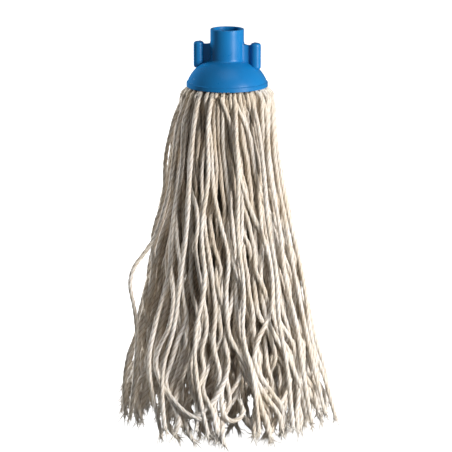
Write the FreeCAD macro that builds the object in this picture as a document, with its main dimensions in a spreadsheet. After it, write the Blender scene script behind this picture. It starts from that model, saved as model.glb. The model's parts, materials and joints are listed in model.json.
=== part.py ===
import FreeCAD, Part
import math
import os
import Sketcher

# String mop head: a screw-on plastic socket cap with two grip wings, and a skirt of limp
# cotton yarn folded over a steel ring and wedged inside the cap's bell.
# Millimetres. Origin: centre of the handle socket's mouth. +Z points up, out of the mouth.

V = FreeCAD.Vector

DIMENSIONS = {
    # socket collar
    "collar_radius": 16.0,
    "collar_height": 30.0,
    "collar_edge": 0.7,
    "base_rise": 1.6,
    "base_flare": 2.2,
    "base_fillet": 2.8,
    "guide_radius": 13.0,
    "guide_depth": 12.0,
    "guide_lead": 0.4,
    # coarse screw thread for the handle
    "crest_radius": 10.3,
    "root_radius": 11.5,
    "socket_depth": 38.0,
    "boss_radius": 14.0,
    "screw_pitch": 4.8,
    "screw_length": 20.0,
    "thread_start": 1.6,
    "tooth_overlap": 0.2,
    "tooth_root": 1.2,
    "tooth_flank": 0.4,
    # bell
    "bell_height": 25.0,
    "lip_height": 4.0,
    "lip_step": 0.6,
    "lip_flare": 0.94,
    "lip_round": 0.5,
    "dome_centre": 6.5,
    "dome_radius": 33.4,
    "wall": 2.4,
    # grip wings
    "wing_reach": 32.6,
    "bead_radius": 5.0,
    "bead_round": 2.6,
    "wing_top": 12.8,
    "wing_bottom": 38.2,
    "web_thickness": 4.6,
    "web_fillet": 1.8,
    "web_waist": 11.0,
    "web_root": 1.2,
    "web_rise": 0.2,
    "web_drop": 1.4,
    "web_dip_radius": 14.0,
    "dip_end": 2.0,
    "dip_width": 14.0,
    "wing_turn": 12.0,
    # wedge plug inside the bell
    "plug_clearance": 0.15,
    "plug_wall": 2.2,
    "plug_foot_radius": 23.5,
    "plug_rise": 0.8,
    "plug_seat": 0.3,
    "plug_step": 4.2,
    "plug_floor": 1.6,
    "rib_reach": 2.0,
    "rib_rise": 4.0,
    "rib_thickness": 2.0,
    # steel ring that the yarn is folded over
    "ring_radius": 26.6,
    "ring_wire": 1.0,
    "ring_rise": 8.0,
    # yarn
    "strand_thickness": 4.5,
    "fold_drop": 3.0,
    "fold_slit": 1.0,
    "crown_drop": 1.8,
    "crown_inner": 2.4,
    "crown_outer": 3.0,
    "fit_gap": 0.3,
    "skirt_drop": 2.5,
    "skirt_length": 312.5,
    "skirt_radius": 96.0,
    "core_spread": 25.5,
    "core_fit": 0.4,
    "core_edge": 7.0,
    "shoulder_reach": 6.0,
    "shoulder_drop": 11.5,
    "hem_depth": 20.0,
    "hem_edge": 9.0,
    "tuft_count": 12.0,
    "tuft_gap": 1.4,
}

# how far a cutting outline runs past the surface that it cuts
OVERRUN = 1.0

# a tuft's outer surface: how far down it is, and how far out from the rim, as shares of the skirt's
TUFT_SPREAD = ((0.17, 0.11), (0.36, 0.20), (0.57, 0.33), (0.77, 0.46))

# how much each tuft hangs below (+) or above (-) the mean cut length, from the right-hand side
TUFT_TRIMS = (0.0, -6.0, -3.0, -8.0, -4.0, 2.0, 0.0, 3.0, 5.0, 3.0, 2.0, -3.0)

# loose outer strands: the tuft each one hangs with, then its route from the rim down
STRANDS = {
    "strand_01": (1, [(45, 8, -61), (50, 8, -84), (55, 14, -124), (66, 11, -168),
                      (73, 22, -214), (84, 16, -262), (91, 30, -306), (105, 30, -348), (104, 36, -378)]),
    "strand_02": (2, [(33, 31, -61), (38, 36, -90), (38, 45, -135), (52, 46, -182),
                      (52, 58, -230), (67, 56, -276), (63, 72, -318), (75, 70, -358)]),
    "strand_03": (3, [(13, 44, -61), (16, 50, -92), (12, 59, -140), (22, 66, -188),
                      (16, 79, -238), (29, 85, -284), (24, 97, -326), (31, 98, -362)]),
    "strand_04": (4, [(-12, 44, -61), (-11, 52, -90), (-19, 57, -136), (-13, 69, -186),
                      (-27, 75, -234), (-20, 88, -280), (-33, 94, -324), (-25, 101, -360)]),
    "strand_05": (5, [(-33, 31, -61), (-36, 38, -94), (-47, 38, -142), (-46, 53, -190),
                      (-60, 52, -238), (-60, 67, -282), (-76, 61, -322), (-74, 74, -360)]),
    "strand_06": (6, [(-45, 9, -61), (-51, 8, -88), (-54, 15, -132), (-66, 12, -180),
                      (-71, 23, -228), (-84, 17, -274), (-91, 29, -318), (-101, 25, -358)]),
    "strand_07": (7, [(-45, -7, -61), (-51, -6, -86), (-60, -9, -124), (-59, -12, -160),
                      (-73, -8, -198), (-72, -18, -236), (-85, -13, -284), (-95, -25, -332), (-101, -19, -374)]),
    "strand_08": (7, [(-42, -18, -61), (-48, -19, -92), (-52, -22, -140), (-63, -28, -182),
                      (-73, -31, -216), (-91, -35, -244), (-92, -31, -282), (-87, -42, -322), (-93, -44, -370)]),
    "strand_09": (8, [(-38, -26, -61), (-42, -29, -88), (-42, -36, -130), (-52, -44, -176),
                      (-53, -52, -222), (-67, -57, -268), (-76, -64, -310), (-69, -74, -348), (-62, -81, -378)]),
    "strand_10": (8, [(-30, -35, -61), (-32, -41, -92), (-36, -48, -140), (-38, -58, -186),
                      (-45, -66, -232), (-50, -70, -278), (-65, -74, -322), (-59, -85, -370)]),
    "strand_11": (9, [(-17, -42, -61), (-19, -48, -90), (-17, -56, -136), (-26, -62, -182),
                      (-19, -73, -230), (-31, -79, -276), (-30, -92, -322), (-18, -98, -372)]),
    "strand_12": (10, [(8, -45, -61), (8, -52, -92), (11, -57, -140), (9, -67, -188),
                       (17, -74, -236), (13, -86, -280), (27, -90, -322), (30, -97, -370)]),
    "strand_13": (11, [(26, -37, -61), (30, -42, -90), (35, -47, -132), (38, -58, -178),
                       (47, -64, -222), (48, -75, -268), (58, -80, -312), (62, -87, -368)]),
    "strand_14": (11, [(37, -26, -61), (43, -29, -92), (44, -37, -136), (55, -42, -182),
                       (58, -51, -230), (72, -53, -278), (75, -64, -322), (83, -66, -372)]),
    "strand_15": (12, [(43, -14, -61), (50, -15, -88), (52, -21, -132), (63, -22, -178),
                       (70, -31, -226), (80, -31, -274), (86, -43, -318), (97, -45, -366)]),
    "strand_16": (12, [(45, -5, -61), (51, -5, -86), (56, -9, -128), (65, -6, -172),
                       (76, -9, -212), (84, -8, -258), (86, -17, -304), (102, -14, -342), (107, -17, -378)]),
}


class Size:
    """A length that carries its number and the spreadsheet expression that gives it."""

    def __init__(self, number, text):
        self.number = float(number)
        self.text = text

    def __add__(self, other):
        other = as_size(other)
        return Size(self.number + other.number, "(%s + %s)" % (self.text, other.text))

    def __sub__(self, other):
        other = as_size(other)
        return Size(self.number - other.number, "(%s - %s)" % (self.text, other.text))

    def __mul__(self, other):
        other = as_size(other)
        return Size(self.number * other.number, "(%s * %s)" % (self.text, other.text))

    def __truediv__(self, other):
        other = as_size(other)
        return Size(self.number / other.number, "(%s / %s)" % (self.text, other.text))

    def __neg__(self):
        return Size(-self.number, "(0 - %s)" % self.text)


def as_size(value):
    if isinstance(value, Size):
        return value
    return Size(value, "(%r)" % float(value))


def size(name):
    return Size(DIMENSIONS[name], "dims.%s" % name)


def root_of(value):
    return Size(math.sqrt(value.number), "sqrt(%s)" % value.text)


doc = FreeCAD.newDocument("string_mop_head")
dims = doc.addObject("Spreadsheet::Sheet", "dims")
for row, (alias, value) in enumerate(DIMENSIONS.items(), 1):
    dims.set("A%d" % row, alias)
    dims.set("B%d" % row, str(value))
    dims.setAlias("B%d" % row, alias)
doc.recompute()


def new_body(name):
    body = doc.addObject("PartDesign::Body", name)
    body.Label = name
    return body


def origin_item(body, role):
    return next(item for item in body.Origin.OriginFeatures if item.Role == role)


def bind_point(sketch, index, end, across, up):
    """Fix one end of a sketch element at two sheet-driven coordinates."""
    for kind, length in (("DistanceX", across), ("DistanceY", up)):
        length = as_size(length)
        number = sketch.addConstraint(Sketcher.Constraint(kind, -1, 1, index, end, length.number))
        sketch.setExpression("Constraints[%d]" % number, length.text)


def profile(body, name, corners, plane="XZ_Plane", arcs=None):
    """Closed outline on an origin plane; arcs maps a corner's number to (radius, side) of its next edge."""
    arcs = arcs or {}
    sketch = body.newObject("Sketcher::SketchObject", name)
    sketch.AttachmentSupport = (origin_item(body, plane), [""])
    sketch.MapMode = "FlatFace"
    corners = [(as_size(across), as_size(up)) for across, up in corners]
    spots = [V(across.number, up.number, 0) for across, up in corners]
    count = len(corners)
    ends = []
    for index, start in enumerate(spots):
        end = spots[(index + 1) % count]
        if index not in arcs:
            sketch.addGeometry(Part.LineSegment(start, end))
            ends.append((1, 2))
            continue
        radius, side = arcs[index]
        chord = end - start
        normal = V(-chord.y, chord.x, 0).normalize() * side
        centre = (start + end) * 0.5 - normal * math.sqrt(radius.number ** 2 - (chord.Length / 2) ** 2)
        first, last = (end, start) if side > 0 else (start, end)
        angles = [math.atan2(spot.y - centre.y, spot.x - centre.x) for spot in (first, last)]
        if angles[1] < angles[0]:
            angles[1] += 2 * math.pi
        sketch.addGeometry(Part.ArcOfCircle(Part.Circle(centre, V(0, 0, 1), radius.number), *angles))
        ends.append((2, 1) if side > 0 else (1, 2))
    for index in range(count):
        following = (index + 1) % count
        sketch.addConstraint(
            Sketcher.Constraint("Coincident", index, ends[index][1], following, ends[following][0]))
    for index, (across, up) in enumerate(corners):
        bind_point(sketch, index, ends[index][0], across, up)
    for index, (radius, _) in arcs.items():
        number = sketch.addConstraint(Sketcher.Constraint("Radius", index, radius.number))
        sketch.setExpression("Constraints[%d]" % number, radius.text)
    return sketch


def revolve(body, name, sketch, axis="V_Axis", cut=False):
    kind = "PartDesign::Groove" if cut else "PartDesign::Revolution"
    turned = body.newObject(kind, name)
    turned.Profile = sketch
    turned.ReferenceAxis = (sketch, [axis])
    turned.Angle = 360
    return turned


def dome_up(across, shrink=0.0):
    """Height of the bell's dome surface at a given radius, shrunk inwards by a wall."""
    reach = across - size("dome_centre")
    radius = size("dome_radius") - shrink
    return dome_level() + root_of(radius * radius - reach * reach)


def dome_out(up, shrink=0.0):
    """Radius of the dome surface at a given height."""
    rise = up - dome_level()
    radius = size("dome_radius") - shrink
    return size("dome_centre") + root_of(radius * radius - rise * rise)


def dome_level():
    """Height of the dome arc's centre: its arc meets the collar at the collar's base."""
    reach = size("collar_radius") - size("dome_centre")
    radius = size("dome_radius")
    return -size("collar_height") - root_of(radius * radius - reach * reach)


def rim_level():
    """Height of the bell's lower edge."""
    return -size("collar_height") - size("bell_height")


def rim_out():
    """Outer radius of the lip round the bell's lower edge."""
    return dome_out(rim_level() + size("lip_height") + size("lip_step")) + size("lip_flare")


def core_top_out():
    return size("plug_foot_radius") + size("core_fit")


def core_foot_out():
    return core_top_out() + size("core_spread")


def skirt_top():
    return rim_level() - size("skirt_drop")


def add_wing(body, side):
    """One grip wing: a waisted web out from the collar, ending in an upright round bead."""
    collar = size("collar_radius")
    reach = size("wing_reach")
    middle = reach - size("bead_radius")
    high = -size("wing_top")
    low = -size("wing_bottom")
    rounding = size("bead_round")
    inner = collar - size("web_root")
    dip_start = collar + size("web_rise") / 2
    dip_end = middle - size("dip_end")
    root_half = size("web_thickness") / 2 + size("web_fillet")
    bead_half = size("web_thickness") / 2 + size("web_fillet") / 2
    mark = "right" if side > 0 else "left"

    web = profile(body, "web_section_" + mark, [
        (inner * side, -root_half),
        (middle * side, -bead_half),
        (middle * side, bead_half),
        (inner * side, root_half),
    ], plane="XY_Plane", arcs={0: (size("web_waist"), side), 2: (size("web_waist"), side)})
    web.setExpression(".AttachmentOffset.Base.z", (high + size("web_rise")).text)
    web_pad = body.newObject("PartDesign::Pad", "wing_web_" + mark)
    web_pad.Profile = web
    web_pad.Reversed = True
    web_pad.setExpression("Length", (high - low - size("bead_round") / 2).text)

    dip = profile(body, "web_dip_" + mark, [
        (dip_start * side, high - size("web_drop")),
        (dip_end * side, high - size("web_drop")),
        (dip_end * side, high + OVERRUN),
        (dip_start * side, high + OVERRUN),
    ], arcs={0: (size("web_dip_radius"), -side)})
    dip_cut = body.newObject("PartDesign::Pocket", "wing_dip_" + mark)
    dip_cut.Profile = dip
    dip_cut.Midplane = True
    dip_cut.setExpression("Length", "dims.dip_width")

    bead = profile(body, "bead_outline_" + mark, [
        (middle * side, high),
        ((reach - rounding) * side, high),
        (reach * side, high - rounding),
        (reach * side, low + rounding),
        ((reach - rounding) * side, low),
        (middle * side, low),
    ], arcs={1: (rounding, side), 3: (rounding, side)})
    axis = bead.addGeometry(Part.LineSegment(V(middle.number * side, high.number, 0),
                                             V(middle.number * side, low.number, 0)), True)
    bind_point(bead, axis, 1, middle * side, high)
    bind_point(bead, axis, 2, middle * side, low)
    revolve(body, "wing_bead_" + mark, bead, axis="Axis0")


def build_socket_cap():
    body = new_body("socket_cap")
    collar = size("collar_radius")
    edge = size("collar_edge")
    base = -size("collar_height")
    rim = rim_level()
    lip = rim + size("lip_height")
    flare = collar + size("base_flare")
    lip_round = size("lip_round")
    outline = profile(body, "cap_outline", [
        (0, 0),
        (collar - edge, 0),
        (collar, -edge),
        (collar, base + size("base_rise")),
        (flare, dome_up(flare)),
        (dome_out(lip + size("lip_step")), lip + size("lip_step")),
        (rim_out(), lip),
        (rim_out(), rim + lip_round),
        (rim_out() - lip_round, rim),
        (0, rim),
    ], arcs={
        1: (edge, 1),
        3: (size("base_fillet"), -1),
        4: (size("dome_radius"), 1),
        7: (lip_round, 1),
    })
    revolve(body, "cap_blank", outline)

    for side in (1, -1):
        add_wing(body, side)

    guide = profile(body, "guide_outline", [
        (0, OVERRUN),
        (size("guide_radius") + size("guide_lead"), OVERRUN),
        (size("guide_radius") + size("guide_lead"), 0),
        (size("guide_radius"), -size("guide_lead")),
        (size("guide_radius"), -size("guide_depth")),
        (0, -size("guide_depth")),
    ])
    revolve(body, "handle_guide", guide, cut=True)

    shaft = profile(body, "crest_outline", [
        (0, -size("guide_depth") + OVERRUN),
        (size("crest_radius"), -size("guide_depth") + OVERRUN),
        (size("crest_radius"), -size("socket_depth") - OVERRUN),
        (0, -size("socket_depth") - OVERRUN),
    ])
    revolve(body, "handle_socket", shaft, cut=True)

    wall = size("wall")
    boss = size("boss_radius")
    lead = size("fit_gap")
    mouth = dome_out(rim + lead, wall)
    inside = profile(body, "bell_inside", [
        (0, -size("socket_depth")),
        (boss, -size("socket_depth")),
        (boss, dome_up(boss, wall)),
        (mouth, rim + lead),
        (mouth + lead, rim),
        (mouth + lead, rim - OVERRUN),
        (0, rim - OVERRUN),
    ], arcs={2: (size("dome_radius") - wall, 1)})
    revolve(body, "bell_hollow", inside, cut=True)

    start = -size("guide_depth") - size("thread_start")
    tooth_in = size("crest_radius") - size("tooth_overlap")
    flank = size("tooth_flank")
    groove = profile(body, "thread_tooth", [
        (tooth_in, start - size("tooth_root") - flank * 2),
        (size("root_radius"), start - size("tooth_root") - flank),
        (size("root_radius"), start - flank),
        (tooth_in, start),
    ])
    thread = body.newObject("PartDesign::SubtractiveHelix", "handle_thread")
    thread.Profile = groove
    thread.ReferenceAxis = (groove, ["V_Axis"])
    thread.Mode = 0
    thread.setExpression("Pitch", "dims.screw_pitch")
    thread.setExpression("Height", "dims.screw_length")
    thread.Reversed = True
    thread.LeftHanded = False
    body.Tip = thread
    body.Placement = FreeCAD.Placement(V(0, 0, 0), FreeCAD.Rotation(V(0, 0, 1), -DIMENSIONS["wing_turn"]))
    return body


def build_clamp_plug():
    body = new_body("clamp_plug")
    boss = size("boss_radius") + size("plug_clearance")
    thick = size("plug_wall")
    floor = -size("socket_depth") - size("plug_seat")
    step = floor + size("plug_step")
    plate = floor - thick * size("plug_floor")
    foot = rim_level() + size("plug_rise")
    foot_radius = size("plug_foot_radius")
    outline = profile(body, "plug_outline", [
        (0, floor),
        (boss, floor),
        (boss, step),
        (boss + thick, step),
        (boss + thick, floor - thick),
        (foot_radius, foot),
        (foot_radius - thick, foot),
        (boss - thick / 2, plate),
        (0, plate),
    ])
    revolve(body, "plug_shell", outline)
    rib = profile(body, "rib_outline", [
        (size("rib_reach"), plate + OVERRUN / 4),
        (boss - thick * 0.6, plate + OVERRUN / 4),
        (foot_radius - thick * 1.4, foot + OVERRUN),
        (size("rib_reach"), foot + OVERRUN + size("rib_rise")),
    ])
    rib_pad = body.newObject("PartDesign::Pad", "plug_rib")
    rib_pad.Profile = rib
    rib_pad.Midplane = True
    rib_pad.setExpression("Length", "dims.rib_thickness")
    ribs = body.newObject("PartDesign::PolarPattern", "plug_ribs")
    ribs.Originals = [rib_pad]
    ribs.Axis = (origin_item(body, "Z_Axis"), [""])
    ribs.Angle = 360
    ribs.Occurrences = 4
    body.Tip = ribs
    return body


def build_binding_ring():
    ring = doc.addObject("Part::Torus", "binding_ring")
    ring.Label = "binding_ring"
    ring.setExpression("Radius1", "dims.ring_radius")
    ring.setExpression("Radius2", "dims.ring_wire")
    ring.setExpression("Placement.Base.z", (rim_level() + size("ring_rise")).text)
    return ring


def build_clamped_yarn():
    """The yarn's fold inside the bell: one leg down the bell wall, one down the plug."""
    body = new_body("clamped_yarn")
    gap = size("fit_gap")
    wall = size("wall") + gap
    top = -size("socket_depth") - size("fold_drop")
    foot = skirt_top() + gap
    boss = size("boss_radius") + size("plug_clearance") + size("plug_wall")
    floor = -size("socket_depth") - size("plug_seat") - size("plug_wall")
    foot_radius = size("plug_foot_radius")
    plug_foot = rim_level() + size("plug_rise")
    slope = (foot_radius - boss) / (floor - plug_foot)
    inner_top = boss + slope * (floor - top) + gap
    ring_level = rim_level() + size("ring_rise")
    mouth = rim_level() + size("core_fit")
    slit = size("fold_slit") / 2
    ring = size("ring_radius")
    pocket = size("ring_wire") + gap
    crown = top - size("crown_drop")
    core_in = core_top_out() - size("core_edge")
    outline = profile(body, "fold_outline", [
        (inner_top + size("crown_inner"), top),
        (dome_out(crown, wall) - size("crown_outer"), top),
        (dome_out(crown, wall), crown),
        (dome_out(mouth, wall), mouth),
        (dome_out(mouth, wall), foot),
        (ring + slit, foot),
        (ring + slit, ring_level - pocket),
        (ring + pocket, ring_level - pocket),
        (ring + pocket, ring_level + pocket),
        (ring - pocket, ring_level + pocket),
        (ring - pocket, ring_level - pocket),
        (ring - slit, ring_level - pocket),
        (ring - slit, foot),
        (core_in, foot),
        (core_in, plug_foot - gap),
        (foot_radius + gap * 1.5, plug_foot - gap),
        (inner_top + slope * size("crown_drop") + gap / 2, crown),
    ], arcs={2: (size("dome_radius") - wall, 1)})
    revolve(body, "yarn_fold", outline)
    return body


def build_yarn_core():
    """The inner half of the skirt, hanging straight below the plug."""
    body = new_body("yarn_core")
    top = skirt_top()
    foot = top - size("skirt_length")
    outline = profile(body, "core_outline", [
        (0, top),
        (core_top_out(), top),
        (core_foot_out(), foot + size("hem_depth") / 2),
        (core_foot_out() - size("core_edge"), foot),
        (0, foot + size("fold_drop")),
    ])
    revolve(body, "core_bundle", outline)
    return body


def build_tuft(number):
    """One outer bundle of strands, hanging from the rim in its own wedge of the skirt."""
    name = "yarn_tuft_%02d" % number
    body = new_body(name)
    top = skirt_top()
    span = size("skirt_length")
    wide = size("skirt_radius")
    foot = top - span - TUFT_TRIMS[number - 1]
    inner_top = core_top_out() + size("fit_gap") * 2
    lean = (core_foot_out() - core_top_out()) / (span - size("hem_depth") / 2)
    rim = rim_out() - size("fit_gap")
    edge = size("hem_edge")
    spread = [(wide * out + rim, top - span * down) for down, out in TUFT_SPREAD]
    outline = profile(body, "tuft_outline_%02d" % number, [
        (inner_top, top),
        (rim, top),
        (rim + size("shoulder_reach"), top - size("shoulder_drop")),
        *spread,
        (wide, foot + size("hem_depth")),
        (wide, foot + edge),
        (wide - edge, foot),
        (core_foot_out() + edge, foot + size("fold_drop")),
        (inner_top + lean * span, foot + edge),
    ])
    bundle = revolve(body, "tuft_bundle_%02d" % number, outline)
    bundle.Midplane = True
    bundle.setExpression("Angle", "360 / dims.tuft_count - dims.tuft_gap")
    turn = 360.0 / DIMENSIONS["tuft_count"] * (number - 0.5)
    body.Placement = FreeCAD.Placement(V(0, 0, 0), FreeCAD.Rotation(V(0, 0, 1), turn))
    return body


def strand_path(points):
    """Straight runs joined by tangent arcs, as one wire, with its length and tightest bend."""
    edges = []
    length = 0.0
    tightest = 1e9
    start = points[0]
    for before, corner, after in zip(points, points[1:], points[2:]):
        run_in = before - corner
        run_out = after - corner
        into = V(run_in).normalize()
        out = V(run_out).normalize()
        turn = math.pi - into.getAngle(out)
        trim = 0.45 * min(run_in.Length, run_out.Length)
        radius = trim / math.tan(turn / 2)
        tightest = min(tightest, radius)
        first = corner + into * trim
        last = corner + out * trim
        bisector = (into + out).normalize()
        centre = corner + bisector * math.hypot(radius, trim)
        edges.append(Part.LineSegment(start, first).toShape())
        edges.append(Part.Arc(first, centre - bisector * radius, last).toShape())
        length += (first - start).Length + radius * turn
        start = last
    edges.append(Part.LineSegment(start, points[-1]).toShape())
    length += (points[-1] - start).Length
    return Part.Wire(edges), length, tightest


def build_strand(name, tuft, route):
    points = [V(*spot) for spot in route]
    path, length, tightest = strand_path(points)
    thickness = float(dims.get("strand_thickness"))
    ring = Part.Circle(points[0], points[1] - points[0], thickness / 2).toShape()
    tube = path.makePipeShell([Part.Wire([ring])], True, False)
    expected = math.pi * thickness ** 2 / 4 * length
    print("%s on tuft %d: length %.0f mm, tightest bend %.0f mm, volume %.4f of section x length"
          % (name, tuft, length, tightest, tube.Volume / expected))
    strand = doc.addObject("Part::Feature", name)
    strand.Label = name
    strand.Shape = tube
    strand.Placement = FreeCAD.Placement()
    return strand


parts = [build_socket_cap(), build_clamp_plug(), build_binding_ring(), build_clamped_yarn(), build_yarn_core()]
for tuft_number in range(1, int(DIMENSIONS["tuft_count"]) + 1):
    parts.append(build_tuft(tuft_number))
for strand_name, (strand_tuft, strand_route) in STRANDS.items():
    parts.append(build_strand(strand_name, strand_tuft, strand_route))
doc.recompute()

for item in doc.Objects:
    if "Invalid" in item.State or "Error" in item.State:
        raise RuntimeError("%s did not rebuild: %s" % (item.Label, item.State))
for item in parts:
    if item.Shape.isNull() or not item.Shape.isValid() or len(item.Shape.Solids) != 1:
        raise RuntimeError("%s is not one valid solid" % item.Label)

os.makedirs("parts", exist_ok=True)
for item in parts:
    item.Shape.exportStep("parts/%s.step" % item.Label)
    print("%s %.1f cm3" % (item.Label, item.Shape.Volume / 1000))
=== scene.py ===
import json
import math
from collections import namedtuple

import bpy
import numpy as np
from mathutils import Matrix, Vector


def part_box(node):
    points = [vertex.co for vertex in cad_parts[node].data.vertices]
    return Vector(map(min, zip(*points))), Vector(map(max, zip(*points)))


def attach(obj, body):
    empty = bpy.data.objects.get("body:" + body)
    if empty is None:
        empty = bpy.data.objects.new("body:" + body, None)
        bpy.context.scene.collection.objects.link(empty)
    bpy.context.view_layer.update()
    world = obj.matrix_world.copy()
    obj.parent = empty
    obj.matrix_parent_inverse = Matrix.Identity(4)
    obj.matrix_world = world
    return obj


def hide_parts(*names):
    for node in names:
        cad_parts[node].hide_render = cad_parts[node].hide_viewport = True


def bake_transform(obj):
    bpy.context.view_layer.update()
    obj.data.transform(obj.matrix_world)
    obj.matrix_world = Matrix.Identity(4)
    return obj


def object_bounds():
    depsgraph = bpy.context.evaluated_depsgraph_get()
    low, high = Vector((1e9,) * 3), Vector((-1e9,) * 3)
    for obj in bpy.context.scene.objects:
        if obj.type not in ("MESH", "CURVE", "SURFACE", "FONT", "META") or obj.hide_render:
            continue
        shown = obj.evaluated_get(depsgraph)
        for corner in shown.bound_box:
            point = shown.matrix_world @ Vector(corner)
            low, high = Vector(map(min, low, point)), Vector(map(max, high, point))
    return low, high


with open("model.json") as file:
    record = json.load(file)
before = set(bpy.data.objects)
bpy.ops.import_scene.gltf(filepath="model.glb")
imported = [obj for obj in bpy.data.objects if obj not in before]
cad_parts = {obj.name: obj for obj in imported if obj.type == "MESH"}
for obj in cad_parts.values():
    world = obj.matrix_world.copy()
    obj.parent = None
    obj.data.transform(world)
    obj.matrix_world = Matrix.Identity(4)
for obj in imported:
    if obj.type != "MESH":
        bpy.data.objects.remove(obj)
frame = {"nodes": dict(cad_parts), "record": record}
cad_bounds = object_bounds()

# String mop head. Metres, in the CAD frame: +Z is up, out of the handle socket's mouth.
# The cap, plug and ring are the CAD pieces. The yarn solids are replaced by single strands.

MM = 0.001
random = np.random.default_rng(41)

# ---- sizes read from the frame ------------------------------------------------------------

cap_low, cap_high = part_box("socket_cap")
core_low, core_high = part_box("yarn_core")
fold_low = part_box("clamped_yarn")[0]
ring_low, ring_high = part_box("binding_ring")
WIRE_RADIUS = 1 * MM
WISP_ROOM = 14 * MM
RIM_LEVEL = cap_low[2]
RIM_RADIUS = (cap_high[0] - cap_low[0]) / 2
SKIRT_TOP = core_high[2]
SKIRT_BOTTOM = core_low[2]
LOWEST_WISP = cad_bounds[0][2] - WISP_ROOM
RING_RADIUS = (ring_high[0] - ring_low[0]) / 2 - WIRE_RADIUS
RING_LEVEL = (ring_high[2] + ring_low[2]) / 2
JOINTS = {joint["child"]: joint for joint in frame["record"]["behaviour"]["joints"]}
TUFTS = sorted(JOINTS)

# ---- yarn ---------------------------------------------------------------------------------

# radius of the stated cords, and of all other strands in the bell and at the cut end
STRAND_RADIUS = 2.25 * MM
FREE_RADIUS = (1.95 * MM, 2.5 * MM)
# three plies make one turn in each pitch, with a groove between them, as a share of the radius
PLIES = 3
PLY_PITCH = 24 * MM
PLY_DEPTH = 0.15
SURFACE_NOISE = 0.035
# a strand's mesh: one ring of sides at each step
RING_STEP = 2.4 * MM
SIDES = 12
# how much and how often a strand's thickness varies along it
UNEVENNESS = ((0.06, 17 * MM), (0.05, 6.3 * MM), (0.03, 3.1 * MM))
# painted shade near the top and painted light lower down: the yarn gets paler on its way down, from darker
# than its own tone to lighter than it
PAINTED_LIGHT_DOWNWARDS = 0.6
OWN_TONE_AT = 0.3
# a cut end opens over this length, by this much more groove, into this many wisps
FRAY_LENGTH = 18 * MM
FRAY_DEPTH = 0.22
WISPS = 12
# one short fibre for this many rings, standing off from this far out, and its radii in mm
RINGS_PER_FIBRE = 5
FIBRE_START = 1.7 * MM
FIBRE_RADII = (0.16, 0.14, 0.11, 0.06)
LOOSE_TONE = (0.78, 1.0)
FEATURE_TONE = (0.85, 1.0)
CORD_WISP_TONE = 0.9
# painted shade: the loops hidden in the bell get a dark tone
FOLD_PAINTED_SHADE_TONE = 0.4
FOLD_LOOPS = 44
FOLD_GAP = 0.2 * MM
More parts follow.
